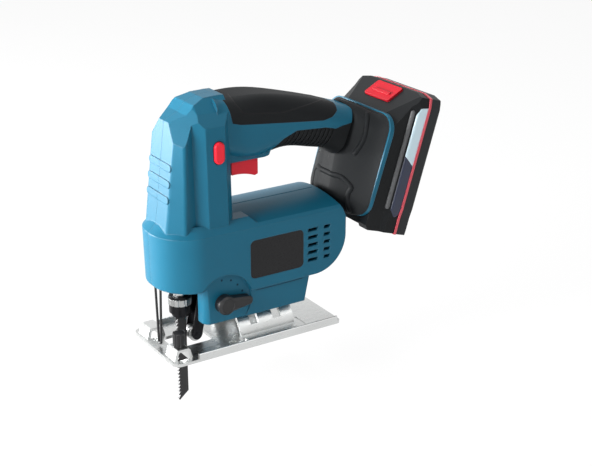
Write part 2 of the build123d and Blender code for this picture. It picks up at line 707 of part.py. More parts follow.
blade_side += [(blade_back - 1.6, shank_top - 2.5), (blade_back, shank_top - 2.5)]
blade = slab_y(blade_side, blade_thickness / 2)
keep("blade", blade)
clamp_radius = 5.6
clamp = bar_z(0, 0, clamp_radius, clamp_low, clamp_top)
clamp = clamp + bar_z(0, 0, 7.2, 23.0, 28.4)
clamp = clamp + bar_z(0, 0, 7.0, 33.4, 34.6)
clamp_slot = block(blade_front, blade_back, -blade_thickness / 2, blade_thickness / 2, 10, shank_top)
keep("blade_clamp", clamp - clamp_slot)
collar = bar_z(0, 0, 7.7, 28.7, 33.1)
for lug in range(12):
    collar = collar - Rot(0, 0, lug * 30) * bar_z(8.2, 0, 0.9, 20, 40)
keep("clamp_collar", collar - bar_z(0, 0, clamp_radius + running_gap, 0, 60))

# Orbital roller guide behind the blade.
roller_radius = 5.0
roller_x = blade_back + seat_gap + roller_radius
roller_height = 5.6
roller_half = 3.6
fork_half = 5.6
fork_sheet = 1.6
arm_pin = 1.5


def fork_cheek(y_from, y_to):
    """One cheek of the fork, a tapered arm between its two pins."""
    lean = math.atan2(pivot_x - roller_x, pivot_height - roller_height)
    length = math.hypot(pivot_x - roller_x, pivot_height - roller_height)
    arm = Polyline((-3.4, 0), (3.4, 0), (4.2, length), (-4.2, length), close=True)
    cheek = make_face(arm) + Circle(3.4) + Pos(0, length) * Circle(4.2)
    across = (math.cos(lean), 0, -math.sin(lean))
    plane = Plane(origin=(roller_x, y_to, roller_height), x_dir=across, z_dir=(0, -1, 0))
    return extrude(plane * cheek, amount=abs(y_to - y_from))


fork = fork_cheek(-fork_half, -fork_half + fork_sheet) + fork_cheek(fork_half - fork_sheet, fork_half)
bridge_drop = 22.0
bridge_foot = pivot_x - bridge_drop * (pivot_x - roller_x) / (pivot_height - roller_height)
bridge_top = pivot_height - 2
bridge_low = bridge_top - bridge_drop
bridge_points = [(pivot_x + 2.0, bridge_top), (pivot_x + 4.0, bridge_top)]
bridge_points += [(bridge_foot + 3.6, bridge_low), (bridge_foot + 1.6, bridge_low)]
fork = fork + slab_y(bridge_points, fork_half - 0.4)
fork = fork - bar_y(pivot_x, pivot_height, pivot_radius + running_gap, -20, 20)
fork = fork + bar_y(roller_x, roller_height, arm_pin, -fork_half - 0.6, fork_half + 0.6)
keep("roller_fork", fork)
wheel_ring = bar_y(roller_x, roller_height, roller_radius, -roller_half, roller_half)
wheel_ring = wheel_ring - bar_y(roller_x, roller_height, arm_pin + running_gap, -20, 20)
groove_half = blade_thickness / 2 + 0.3
channel = bar_y(roller_x, roller_height, roller_radius + 2, -groove_half, groove_half)
channel = channel - bar_y(roller_x, roller_height, roller_radius - 0.6, -groove_half, groove_half)
keep("blade_roller", wheel_ring - channel)
keep("roller_pivot", bar_y(pivot_x, pivot_height, pivot_radius, -pocket_half - 2, pocket_half + 2))

# Orbit selector.
lever_face = -31.2
hub_radius = 6.2
lever_reach = 15.6
arm = make_face(Polyline((0, -5.0), (lever_reach, -3.0), (lever_reach, 3.0), (0, 5.0), close=True))
handle_face = arm + Circle(hub_radius) + Pos(lever_reach, 0) * Circle(3.0)
lever_plane = Plane(origin=(dial_x, dial_floor - moving_gap, dial_height), x_dir=(1, 0, 0), z_dir=(0, -1, 0))
lever_thick = dial_floor - moving_gap - lever_face
selector = extrude(lever_plane * handle_face, amount=lever_thick)
selector = chamfer(selector.faces().sort_by(Axis.Y)[0].edges(), 1.2)
stud = 3.0
selector = selector - bar_y(dial_x, dial_height, stud, -30, 0)
keep("orbit_lever", selector)
cam_end = -pocket_half + 4
cam = bar_y(dial_x, dial_height, stud, -30, dial_floor + 2.6)
cam = cam + bar_y(dial_x, dial_height, shaft_hole, dial_floor, cam_end)
flat_from = dial_height + 1.2
cam = cam - block(dial_x - 6, dial_x + 6, -pocket_half + 0.6, cam_end + 1, flat_from, flat_from + 5)
keep("orbit_shaft", cam)

# Trigger, lock button and the electrics behind them.
trigger_side = [(trigger_x[0], trigger_low + 1.6), (trigger_x[0], trigger_top - 3.0)]
trigger_side += [(trigger_x[1], trigger_top - 3.0), (trigger_x[1], trigger_low - 0.4)]
trigger_side += [(trigger_x[1] - 2.0, trigger_low - 1.0)]
mid_x = (trigger_x[0] + trigger_x[1]) / 2
edges = [Polyline(*trigger_side)]
edges += [ThreePointArc(trigger_side[-1], (mid_x, trigger_low + 1.2), trigger_side[0])]
trigger = extrude(Plane.XZ * make_face(edges), amount=trigger_half, both=True)
trigger = fillet(trigger.edges().filter_by(lambda e: e.center().Z < trigger_low + 2.0), 0.9)
stem = block(mid_x - 4, mid_x + 4, -5, 5, trigger_top - 3, trigger_top)
keep("trigger", trigger + stem)
keep("switch_body", fillet(switch.edges().filter_by(Axis.Y), 1.5))
lock_base = SlotOverall(lock_size[1], lock_size[0])
button_plane = Plane(origin=(lock_x, lock_face, lock_height), x_dir=(0, 0, 1), z_dir=(0, 1, 0))
lock_button = extrude(button_plane * lock_base, amount=9.0)
lock_button = fillet(lock_button.faces().sort_by(Axis.Y)[0].edges(), 1.2)
lock_stem = bar_y(lock_x, lock_height, 2.2, lock_face + 8, lock_face + 18)
keep("lock_button", lock_button + lock_stem)
board = block(board_back - board_sheet, board_back, -board_half, board_half, board_low, board_high)
keep("control_board", lean_back(board))

# Sole plate with folded rails, fence straps and blade opening.
sole_face = Pos((sole_front + sole_rear) / 2, 0) * Rectangle(sole_rear - sole_front, 2 * sole_half_width)
sole_face = fillet(sole_face.vertices().group_by(Axis.X)[0], 5.0)
sole_face = fillet(sole_face.vertices().group_by(Axis.X)[-1], 3.0)
sole = extrude(sole_face, amount=sole_sheet)
slot_front = -9.5
slot_rear = 19.0
slot_side = 9.6
opening = Pos((slot_front + slot_rear) / 2, 0) * RectangleRounded(slot_rear - slot_front, 2 * slot_side, 4.0)
sole = sole - extrude(opening, amount=20, both=True)
rail_start = -3.0
for side in (-1, 1):
    y_out = side * sole_half_width
    y_in = side * (sole_half_width - sole_sheet)
    rail = block(rail_start, sole_rear - 3, min(y_out, y_in), max(y_out, y_in), 0, rail_height)
    rail = fillet(rail.edges().filter_by(Axis.X).group_by(Axis.Z)[-1], 0.8)
    sole = sole + rail
strap_x = (-18.4, -4.6)
strap_rise = 8.6
strap_sheet = 1.6
strap_y = (13.0, 25.0)
strap_out = [(strap_x[0], 0.5), (strap_x[0] + 2.0, strap_rise - 1.0), (strap_x[0] + 3.2, strap_rise)]
strap_out += [(strap_x[1] - 3.2, strap_rise), (strap_x[1] - 2.0, strap_rise - 1.0), (strap_x[1], 0.5)]
tunnel_top = strap_rise - strap_sheet
strap_in = [(strap_x[0] + 2.0, -1), (strap_x[0] + 3.6, tunnel_top - 0.8), (strap_x[0] + 4.4, tunnel_top)]
strap_in += [(strap_x[1] - 4.4, tunnel_top), (strap_x[1] - 3.6, tunnel_top - 0.8), (strap_x[1] - 2.0, -1)]
for side in (-1, 1):
    middle = side * (strap_y[0] + strap_y[1]) / 2
    reach = (strap_y[1] - strap_y[0]) / 2
    sole = sole + Pos(0, middle, 0) * slab_y(strap_out, reach)
    sole = sole - Pos(0, middle, 0) * slab_y(strap_in, reach + 0.6)
fence_y = -(strap_y[0] + strap_y[1]) / 2
fence_x = (strap_x[0] + strap_x[1]) / 2
fence_thread = 2.0
sole = sole - bar_z(fence_x, fence_y, fence_thread + running_gap, 4, 20)
sole = sole - block(80.2, 81.6, -23, -10, -1, 4)
sole = sole - block(80.2, 81.6, 10, 23, -1, 4)
keep("sole_plate", one_solid(sole))
knob = bar_z(fence_x, fence_y, 3.8, strap_rise + 0.4, strap_rise + 9.5)
for flute in range(10):
    turn = Rot(0, 0, flute * 36)
    knob = knob - Pos(fence_x, fence_y, 0) * turn * bar_z(4.2, 0, 0.7, strap_rise, strap_rise + 12)
knob = knob + bar_z(fence_x, fence_y, fence_thread, tunnel_top + 0.2, strap_rise + 1)
keep("fence_screw", knob)

# Bevel saddle with two curved clamp slots.
saddle = bar_x(0, 0, saddle_radius, saddle_front, saddle_rear)
saddle = saddle - bar_x(0, 0, saddle_radius - saddle_sheet, 0, 200)
saddle = saddle & block(0, 200, -60, 60, sole_sheet, 60)
foot_in = math.sqrt((saddle_radius - saddle_sheet) ** 2 - (sole_sheet + 2.0) ** 2)
for side in (-1, 1):
    y_from = min(side * foot_in, side * 26.0)
    y_to = max(side * foot_in, side * 26.0)
    tab = block(saddle_front, saddle_rear, y_from, y_to, sole_sheet, sole_sheet + 2.0)
    outer_edges = tab.edges().filter_by(Axis.Z).sort_by(lambda e: -side * e.center().Y)[:2]
    saddle = saddle + fillet(outer_edges, 3.0)
slot_width = 2 * saddle_screw_radius + 1.2
slot_span = bevel_limit + 32.0
for screw_x in saddle_screw_x:
    wedge = [(0, 0)]
    for part in range(9):
        angle = math.radians(90 - slot_span + part * slot_span / 4)
        wedge.append((60 * math.cos(angle), 60 * math.sin(angle)))
    face = Plane.YZ.offset(screw_x - slot_width / 2) * make_face(Polyline(*wedge, close=True))
    saddle = saddle - extrude(face, amount=slot_width)
keep("bevel_saddle", saddle)
for number, screw_x in enumerate(saddle_screw_x):
    head_top = math.sqrt((saddle_radius - saddle_sheet - seat_gap) ** 2 - 4.6**2)
    bolt = bar_z(screw_x, 0, saddle_screw_radius, head_top - 1, skirt_bottom + 12)
    bolt = bolt + bar_z(screw_x, 0, 4.6, head_top - 5, head_top)
    hexagon = Pos(screw_x, 0, head_top - 5.1) * extrude(RegularPolygon(2.3, 6), amount=3)
    keep("saddle_screw_" + str(number + 1), bolt - hexagon)

# Battery pack, built upright in its own frame and then leaned back.
pack_front = trim_face + moving_gap


def pack_outline(grow):
    """Face outline of the pack with shouldered ends."""
    low = pack_low - grow
    high = pack_high + grow
    half = pack_half_width + grow
    right = [(half - 0.6, low), (half - 0.6, low + 12), (half, low + 18), (half, high - 8)]
    right += [(half - 1.4, high - 2.0), (half - 9, high)]
    left = [(-y, u) for y, u in reversed(right)]
    return make_face(Polyline(*right, *left, close=True))


def pack_slab(grow, n_from, n_to):
    """Pack outline extruded between two distances from the tool."""
    return extrude(Plane.YZ.offset(n_from) * pack_outline(grow), amount=n_to - n_from)


pack_wall = 2.0
strip_sheet = 0.3
strip_half = cell_length / 2
strip_end = strip_half + strip_sheet
room_half = strip_end + running_gap
cell_centre = pack_back - pack_wall - cell_radius
room_front = cell_centre - cell_radius
room_back = pack_back - pack_wall
first_cell = pack_low + pack_wall + cell_radius
last_cell = first_cell + 4 * cell_pitch
room_low = first_cell - cell_radius
room_high = last_cell + cell_radius
room_bevel = (2 - math.sqrt(2)) * cell_radius
room_side = [(room_front, room_low), (room_back, room_low), (room_back, room_high)]
room_side += [(room_front + room_bevel, room_high), (room_front, room_high - room_bevel)]
room = slab_y(room_side, room_half)
shoulder_foot = (pack_front + 3.0, trim_high + 2.4)
shoulder_head = (pack_front + 17.5, pack_high - 0.6)
case_side = [(pack_front, pack_low + 3), (pack_front + 3, pack_low - 1), (pack_split, pack_low - 1)]
case_side += [(pack_split, pack_high + 5), (shoulder_head[0] + 2, pack_high + 1), shoulder_head]
case_side += [shoulder_foot, (pack_front, trim_high - 0.6)]
case = pack_slab(0, pack_front - 1, pack_split) & slab_y(case_side, 60)
narrow = pack_half_width - 2.4
waist = [(pack_front - 2, narrow), (pack_front + 11.6, narrow), (pack_front + 16.6, pack_half_width)]
waist += [(pack_split + 1, pack_half_width)]
waist = waist + [(n, -y) for n, y in reversed(waist)]
case = case & extrude(Plane.XY * make_face(Polyline(*waist, close=True)), amount=250)
channel_top = rail_high + 0.5
lip = rail_stem[1] + 0.4
deep = rail_head + 0.4
channel = block(pack_front - 2, trim_face + rail_step + 0.4, -lip, lip, pack_low - 5, channel_top)
lip_back = trim_face + rail_step - 0.35
channel = channel + block(lip_back, trim_face + rail_tip + 0.4, -deep, deep, pack_low - 5, channel_top)
case = case - channel - room
corner_low = 23.0
corner_high = 33.0
corner_drop = 10.0
for side in (-1, 1):
    foot = Vector(shoulder_foot[0], side * corner_low, shoulder_foot[1])
    head = Vector(shoulder_head[0], side * corner_high, shoulder_head[1])
    flank = Vector(pack_front, side * pack_half_width, trim_high - corner_drop)
    outward = (head - foot).cross(flank - foot) * side
    bevel = Plane(origin=foot, x_dir=head - foot, z_dir=outward)
    case = case - bevel * Pos(0, 0, 20) * Box(150, 150, 40)
slope = math.atan2(shoulder_head[1] - shoulder_foot[1], shoulder_head[0] - shoulder_foot[0])
slope_length = math.hypot(shoulder_head[1] - shoulder_foot[1], shoulder_head[0] - shoulder_foot[0])
button_mid = slope_length * 0.6
along = (math.cos(slope), 0, math.sin(slope))
outward = (-math.sin(slope), 0, math.cos(slope))
button_at = (
    shoulder_foot[0] + button_mid * along[0],
    0,
    shoulder_foot[1] + button_mid * along[2],
)
button_plane = Plane(origin=button_at, x_dir=(0, 1, 0), z_dir=outward)
button_width = 27.0
button_height = 14.0
button_depth = 1.2
button_rise = 1.3
pocket = RectangleRounded(button_width + 2 * moving_gap, button_height + 2 * moving_gap, 1.6)
pocket_depth = button_depth + button_travel + 0.2
case = case - extrude(button_plane * pocket, amount=-pocket_depth)
case = case - extrude(button_plane * pocket, amount=3)
button_face = button_plane.offset(-button_depth) * RectangleRounded(button_width, button_height, 1.4)
button = extrude(button_face, amount=button_depth + button_rise)
bar_face = button_plane.offset(button_rise) * Pos(0, 1.5) * RectangleRounded(button_width - 8, 2.2, 1.0)
button = button + extrude(bar_face, amount=0.9)
label_low = pack_low + 20
label_high = pack_high - 15
label_n = (pack_front + 17.0, pack_split - 0.6)
label_side = [(label_n[0], label_low + 5), (label_n[1], label_low)]
label_side += [(label_n[1], label_high), (label_n[0], label_high - 7)]
label_sheet = 0.5
label = Pos(0, -pack_half_width + label_sheet / 2, 0) * slab_y(label_side, label_sheet / 2)
case = case - label - mirror(label, about=mirror_y)
keep("pack_case", lean_back(one_solid(case)))
keep("left_label", lean_back(label))
keep("right_label", lean_back(mirror(label, about=mirror_y)))
keep("release_button", lean_back(button))
stripe = pack_slab(0.5, pack_split, pack_split + pack_stripe_width) - room
keep("pack_stripe", lean_back(stripe))
cover = pack_slab(0.2, pack_split + pack_stripe_width, pack_back)
cover = chamfer(cover.faces().sort_by(Axis.X)[-1].edges(), 2.6)
keep("pack_cover", lean_back(cover - room))
cells = block(cell_centre - 4, cell_centre + 4, strip_half, strip_end, first_cell - 3, last_cell + 3)
cells = cells + mirror(cells, about=mirror_y)
for number in range(5):
    cell_u = first_cell + number * cell_pitch
    cells = cells + bar_y(cell_centre, cell_u, cell_radius, -strip_half, strip_half)
keep("cell_pack", lean_back(cells))
terminal = block(trim_face, trim_face + 6, -13, 13, 112, 136)
contacts = block(pack_front + 1.2, trim_face + rail_tip + 0.4, -13, 13, 138, channel_top)
for tab_y in (-8.0, 0.0, 8.0):
    tab = block(trim_face + 1.8, trim_face + 5, tab_y - 0.4, tab_y + 0.4, 136, 146)
    terminal = terminal + tab
    contacts = contacts - block(trim_face, trim_face + 6, tab_y - 0.8, tab_y + 0.8, 130, 147)
keep("terminal_block", lean_back(terminal))
keep("pack_contacts", lean_back(contacts))

for name, shape in parts.items():
    export_step(shape, "parts/" + name + ".step")
    print(name, round(shape.volume), len(shape.solids()), shape.is_valid)
print(len(parts), "nodes")
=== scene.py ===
"""Cordless jigsaw: finishes, small surface details and the studio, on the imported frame."""

import json
import math

import bpy
import numpy as np
from mathutils import Matrix, Vector
from mathutils.bvhtree import BVHTree


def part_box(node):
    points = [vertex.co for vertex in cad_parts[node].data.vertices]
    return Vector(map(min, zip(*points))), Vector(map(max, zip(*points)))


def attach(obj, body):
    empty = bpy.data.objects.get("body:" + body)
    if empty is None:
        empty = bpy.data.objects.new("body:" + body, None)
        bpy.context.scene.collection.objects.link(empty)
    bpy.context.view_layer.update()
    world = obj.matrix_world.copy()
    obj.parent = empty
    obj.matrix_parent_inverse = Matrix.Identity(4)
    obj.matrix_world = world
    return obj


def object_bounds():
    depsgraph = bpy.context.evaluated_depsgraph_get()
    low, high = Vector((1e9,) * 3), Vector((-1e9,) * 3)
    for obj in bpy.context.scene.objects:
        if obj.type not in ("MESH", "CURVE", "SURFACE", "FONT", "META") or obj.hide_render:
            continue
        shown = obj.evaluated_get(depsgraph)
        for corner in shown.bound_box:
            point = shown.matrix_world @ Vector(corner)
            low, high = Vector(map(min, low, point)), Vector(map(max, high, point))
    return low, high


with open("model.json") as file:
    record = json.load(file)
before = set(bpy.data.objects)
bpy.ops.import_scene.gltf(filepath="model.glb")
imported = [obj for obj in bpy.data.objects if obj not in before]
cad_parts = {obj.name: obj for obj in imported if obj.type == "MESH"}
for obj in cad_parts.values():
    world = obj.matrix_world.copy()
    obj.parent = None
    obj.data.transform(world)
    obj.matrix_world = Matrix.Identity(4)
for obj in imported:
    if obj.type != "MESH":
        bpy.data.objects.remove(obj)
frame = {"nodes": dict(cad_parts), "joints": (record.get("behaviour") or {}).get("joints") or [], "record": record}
CAD_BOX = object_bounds()

bl_info = {
    "name": "Cordless jigsaw",
    "version": (1, 0, 0),
    "blender": (4, 5, 0),
    "location": "View3D > Sidebar > Jigsaw",
    "description": "Dresses the cordless jigsaw with its finishes and sets up the studio",
    "category": "Object",
}

BODY_OF = {n: b for b, group in frame["record"]["behaviour"]["bodies"].items() for n in group}
SLOT_OF = {s["node"]: s["material_slot"] for s in frame["record"]["subparts"]}
MM = 0.001

# Finishes of moulded pieces: name, colour setting, tone, roughness, grain scale, grain depth
# in mm, softened edge in mm (None for the size setting) and specular level.
MOULDED_FINISHES = (
    ("housing blue", "body", 1.0, 0.39, 2400.0, 0.02, 0.9, 0.2),
    ("soft rubber", "rubber", 1.0, 0.58, 1700.0, 0.06, None, 0.08),
    ("bare plate", "black", 1.0, 0.30, 3000.0, 0.01, 0.3, 0.25),
    ("black wire", "black", 1.0, 0.34, 2600.0, 0.03, 0.1, 0.5),
    ("black moulding", "black", 1.0, 0.36, 2200.0, 0.03, None, 0.4),
    ("red moulding", "red", 1.0, 0.36, 2400.0, 0.03, None, 0.2),
    # The release button's red at half tone is painted shade.
    ("deep red moulding", "red", 0.5, 0.40, 2400.0, 0.03, None, 0.12),
    ("pack case", "pack", 1.0, 0.42, 2000.0, 0.04, None, 0.12),
    ("pack cover", "cover", 1.0, 0.50, 1900.0, 0.06, None, 0.2),
    ("rail grey", "rail", 1.0, 0.45, 1900.0, 0.04, 0.3, 0.35),
    ("red band", "stripe", 1.0, 0.34, 2400.0, 0.04, 0.3, 0.5),
    ("board lacquer", "board", 1.0, 0.30, 900.0, 0.03, 0.1, 0.5),
    ("cell sleeve", "wrap", 1.0, 0.25, 900.0, 0.02, 0.2, 0.5),
    ("coated blade", "black", 1.0, 0.38, 2600.0, 0.04, 0.1, 0.5),
    # Seam and step lines are painted shade.
    ("seam shade", "seam", 1.0, 0.60, 2000.0, 0.01, 0.1, 0.2),
    ("step shade", "step", 1.0, 0.50, 2000.0, 0.01, 0.1, 0.2),
    # Dots: a darker copy of the body blue.
    ("dot paint", "dots", 1.0, 0.45, 2000.0, 0.02, 0.0, 0.1),
)

# Finishes of metal pieces: name, colour setting, tone, roughness, stretch of the streaks along
# X, Y and Z, streak depth in mm and softened edge in mm.
BRUSHED_FINISHES = (
    ("bright sheet", "steel", 1.0, 0.30, (0.15, 2.0, 1.0), 0.0015, 0.0),
    ("ground steel", "steel", 1.0, 0.16, (6.0, 6.0, 0.4), 0.002, 0.3),
    ("turned steel", "steel", 0.7, 0.30, (0.4, 6.0, 6.0), 0.004, 0.3),
    ("plated screw", "steel", 0.6, 0.30, (3.0, 3.0, 3.0), 0.004, 0.2),
    ("dark clamp steel", "clamp", 1.0, 0.34, (6.0, 6.0, 0.5), 0.004, 0.3),
    ("dark iron", "iron", 1.0, 0.50, (2.0, 2.0, 2.0), 0.03, 0.3),
    ("sintered bronze", "bronze", 1.0, 0.42, (2.0, 2.0, 2.0), 0.03, 0.3),
    ("bright copper", "bronze", 1.2, 0.25, (2.0, 2.0, 2.0), 0.03, 0.3),
)

FINISH_OF_SLOT = {
    "body_teal": "housing blue",
    "grip_rubber": "soft rubber",
    "plate_black": "bare plate",
    "screw_steel": "plated screw",
    "guard_black": "black wire",
    "bush_bronze": "sintered bronze",
    "seal_rubber": "soft rubber",
    "motor_steel": "turned steel",
    "magnet_grey": "dark iron",
    "inner_plastic": "black moulding",
    "copper": "bright copper",
    "gear_steel": "turned steel",
    "plunger_steel": "ground steel",
    "clamp_steel": "dark clamp steel",
    "blade_black": "coated blade",
    "roller_steel": "turned steel",
    "knob_black": "black moulding",
    "control_red": "red moulding",
    "board_green": "board lacquer",
    "sole_steel": "bright sheet",
    "pack_black": "pack case",
    "stripe_red": "red band",
    "label_blank": "bare label",
    "cover_grey": "pack cover",
    "cell_wrap": "cell sleeve",
}

# Nodes that look different from the rest of their slot. The release button's darker red is painted shade.
FINISH_OF_NODE = {
    "roller_fork": "dark clamp steel",
    "roller_pivot": "dark clamp steel",
    "release_button": "deep red moulding",
}

# Change of tone over a moulded piece and over a metal piece: dark and light factor, noise scale.
MOULDED_TONES = (0.93, 1.07, 28.0)
BRUSHED_TONES = (0.9, 1.05, 40.0)
STREAK_SCALE = 900.0
# Noise values that stand for the ends of a range, because noise seldom goes past them.
NOISE_LOW, NOISE_HIGH = 0.3, 0.7
GRAIN_STRENGTH = 0.35
# Cosines between the softened and the plain normal where the painted edge highlight starts and is full.
HIGHLIGHT_START, HIGHLIGHT_FULL = 0.985, 0.86

# Factor on Y that carries a path on the left to each side.
SIDES = {"left": 1, "right": -1}
# Wall of a thin detail piece below its outer face.
WALL = 0.25 * MM
# Path knots on the left side, in mm, each with the bead's half width and rise.
PAD_SEAM = (
    (36.8, -2.2, 161.7), (34.4, -9.4, 161.7), (33.9, -13.1, 160.6), (34.6, -15.8, 158.5),
    (36.4, -17.7, 155.7), (38.8, -18.4, 152.9), (44.0, -18.4, 151.6), (52.1, -18.3, 150.7),
    (65.9, -17.9, 148.9), (83.0, -15.5, 149.5), (97.2, -10.8, 149.7), (105.6, -4.8, 148.4),
)
PAD_SEAM_SIZE = (0.5, 0.16)
SKIRT_LINE = ((41, -25.7, 37.0), (58, -25.7, 36.9), (76.8, -25.7, 37.2))
SKIRT_LINE_SIZE = (0.32, 0.1)
UPPER_BEAD = (
    (131.9, -17.3, 139.1), (128.8, -21.5, 133.3), (126.0, -22.1, 122.4), (120.7, -18.9, 111.7),
)
UPPER_BEAD_SIZE = (1.7, 0.8)
LOWER_BEAD = (
    (111.2, 2.4, 97.1), (111.3, 0.0, 97.2), (111.8, -6.9, 97.0), (114.5, -14.3, 96.4),
    (117.1, -21.2, 91.3), (115.7, -20.6, 87.1), (114.9, -20.4, 83.0), (115.2, -21.1, 78.1),
    (116.5, -22.6, 73.6),
)
LOWER_BEAD_SIZE = (1.9, 0.9)
# Distance between samples of a path, and how far the rim of a bead lies below the surface, in mm.
PATH_STEP = 0.5
BEAD_SINK = 0.03
BEAD_COLUMNS = 9
SPLINE_STEPS = 24

# Directions up and back along the tilted battery pack. Pack measures are in mm along them.
PACK_UP = np.array([0.292372, 0.0, 0.956305])
PACK_BACK = np.array([0.956305, 0.0, -0.292372])
RAIL_UP = (112.5, 130.0, 150.0, 165.0, 180.0)
RAIL_BACK = 109.9
RAIL_SIDE = -33.2
RAIL_SIZE = (1.6, 0.8)
# The label's tone line: its slant and one point of it, up and back.
LABEL_SLANT = math.radians(-52.7)
LABEL_POINT = (146.4, 116.5)
# The label film's span back along the pack, and its low and high outline over that span.
FILM_SPAN = (112.3, 120.55)
FILM_LOW = ((112.3, 117.0, 120.55), (112.4, 107.5, 110.0))
FILM_HIGH = ((112.3, 114.6, 120.55), (177.5, 182.0, 183.2))
FILM_LIFT = 0.1
FILM_COLUMNS, FILM_ROWS = 12, 60

# Places of the setting dots in X and Z, in mm, and the Y in metres from which they are dropped.
DOT_PLACES = ((17.3, 49.0), (23.9, 47.6), (28.6, 43.6), (32.0, 38.6))
DOT_DROP = -0.06
DOT_GRID = 13
RING_TUBE = 0.28 * MM
RING_STEPS, TUBE_STEPS = 64, 12

# Lamps: name, place, width and power. The target is a point in the middle of the tool.
LAMPS = (
    ("key_lamp", (-1.08, -0.1, 0.48), 0.6, 25.0),
    ("rim_lamp", (-0.85, 0.85, 0.14), 0.5, 42.0),
    ("fill_lamp", (0.32, -0.98, 1.02), 0.9, 3.6),
    ("top_lamp", (0.25, 0.4, 1.25), 0.5, 7.0),
)
LAMP_TARGET = (0.06, 0.0, 0.07)
WHITE = (1, 1, 1, 1)
FLOOR_HALF = 6
FLOOR_WHITE = 0.90
SURROUND_LIGHT = 0.22
# The photograph's camera: 32.5 degrees to the left and 21.5 degrees up.
CAMERA_PLACE = (-0.3362, -0.6661, 0.3690)
CAMERA_AHEAD = (0.4999, 0.7847, -0.3665)
CAMERA_RIGHT = (0.8434, -0.5373, 0.0)
SENSOR_WIDTH = 36.0


def colour_property(name, words, value):
    """A colour setting with its name, description and default."""
    return bpy.props.FloatVectorProperty(
        name=name, description=words, default=value, size=3, min=0.0, max=1.0, subtype="COLOR"
    )


def length_property(name, words, value):
    """A length setting in metres."""
    return bpy.props.FloatProperty(
        name=name, description=words, default=value, min=0.0, unit="LENGTH"
    )


class JigsawColours(bpy.types.PropertyGroup):
    """Colours of the jigsaw's finishes, as linear values."""

    body: colour_property("Body", "Blue moulded housing", (0.005, 0.100, 0.168))
    rubber: colour_property("Rubber", "Soft grips and neck cover", (0.011, 0.0122, 0.0133))
    red: colour_property("Red", "Trigger, lock and release buttons", (0.72, 0.018, 0.035))
    black: colour_property("Black", "Knobs, plates, blade and wire", (0.006, 0.006, 0.007))
    pack: colour_property("Pack", "Battery case", (0.008, 0.009, 0.010))
    cover: colour_property("Cover", "Battery back cover", (0.018, 0.0195, 0.0215))
    rail: colour_property("Rail", "Rail beside the battery label", (0.085, 0.088, 0.092))
    stripe: colour_property("Stripe", "Band round the battery", (0.58, 0.06, 0.085))
    label_light: colour_property("Label light", "Upper part of the label", (0.52, 0.66, 0.73))
    label_dark: colour_property("Label dark", "Lower part of the label", (0.010, 0.016, 0.042))
    steel: colour_property("Steel", "Sole, saddle, plunger and screws", (0.62, 0.63, 0.625))
    clamp: colour_property("Clamp", "Blade clamp and roller fork", (0.022, 0.022, 0.024))
    iron: colour_property("Iron", "Motor magnet", (0.09, 0.09, 0.10))
    bronze: colour_property("Bronze", "Plunger bushes and contacts", (0.42, 0.24, 0.11))
    board: colour_property("Board", "Control board lacquer", (0.02, 0.13, 0.05))
    wrap: colour_property("Wrap", "Cell sleeves", (0.03, 0.14, 0.26))
    # Seam and step colours are painted shade along a groove and a step.
    seam: colour_property("Seam", "Seam on the top grip", (0.004, 0.004, 0.005))
    step: colour_property("Step", "Step line of the skirt", (0.002, 0.03, 0.055))
    # The dots are a darker copy of the body blue.
    dots: colour_property("Dots", "Setting dots of the selector", (0.002, 0.022, 0.042))
    floor: colour_property("Floor", "Studio floor", (0.90, 0.90, 0.90))


class JigsawSizes(bpy.types.PropertyGroup):
    """Sizes of the small details and of the studio."""

    edge: length_property("Edge", "Softened edge radius of moulded pieces", 0.45 * MM)
    dot: length_property("Dot", "Radius of a setting dot on the selector face", 0.75 * MM)
    ring: length_property("Ring", "Radius of the ring on the lever hub", 4.6 * MM)
    dot_rise: length_property("Dot rise", "How far a setting dot stands off its face", 0.12 * MM)
    lens: bpy.props.FloatProperty(
        name="Lens", description="Camera focal length in millimetres", default=77.35
    )
    floor_gap: length_property("Floor gap", "Space under the blade tip", 0.5 * MM)


def settings():
    """Colours and sizes stored on the scene."""
    scene = bpy.context.scene
    return scene.jigsaw_colours, scene.jigsaw_sizes


def new_material(name):
    """A node material with its tree and its shader."""
    material = bpy.data.materials.new(name)
    material.use_nodes = True
    tree = material.node_tree
    return material, tree, tree.nodes["Principled BSDF"]


def coordinates(tree, scale=(1, 1, 1)):
    """Object coordinates, stretched along chosen axes."""
    place = tree.nodes.new("ShaderNodeTexCoord")
    mapping = tree.nodes.new("ShaderNodeMapping")
    mapping.inputs["Scale"].default_value = scale
    tree.links.new(place.outputs["Object"], mapping.inputs["Vector"])
    return mapping.outputs["Vector"]


def noise(tree, vector, scale, detail):
    """Noise value over a coordinate output."""
    node = tree.nodes.new("ShaderNodeTexNoise")
    node.inputs["Scale"].default_value = scale
    node.inputs["Detail"].default_value = detail
    tree.links.new(vector, node.inputs["Vector"])
    return node.outputs["Fac"]


def mapped(tree, value, start, end, low=0.0, high=1.0):
    """Value carried from the range start to end onto the range low to high, and held there."""
    node = tree.nodes.new("ShaderNodeMapRange")
    node.inputs["From Min"].default_value = start
    node.inputs["From Max"].default_value = end
    node.inputs["To Min"].default_value = low
    node.inputs["To Max"].default_value = high
    tree.links.new(value, node.inputs["Value"])
    return node.outputs["Result"]


def maths(tree, operation, first, second):
    """Result of an operation on an output and on a second output or a number."""
    node = tree.nodes.new("ShaderNodeMath")
    node.operation = operation
    tree.links.new(first, node.inputs[0])
    if isinstance(second, bpy.types.NodeSocket):
        tree.links.new(second, node.inputs[1])
    else:
        node.inputs[1].default_value = second
    return node.outputs["Value"]


def colour_mix(tree, share, first, second):
    """Colour from the first, an output or a colour, towards the second colour by a share."""
    node = tree.nodes.new("ShaderNodeMix")
    node.data_type = "RGBA"
    if isinstance(first, bpy.types.NodeSocket):
        tree.links.new(first, node.inputs["A"])
    else:
        node.inputs["A"].default_value = (*first, 1)
    node.inputs["B"].default_value = (*second, 1)
    tree.links.new(share, node.inputs["Factor"])
    return node.outputs["Result"]


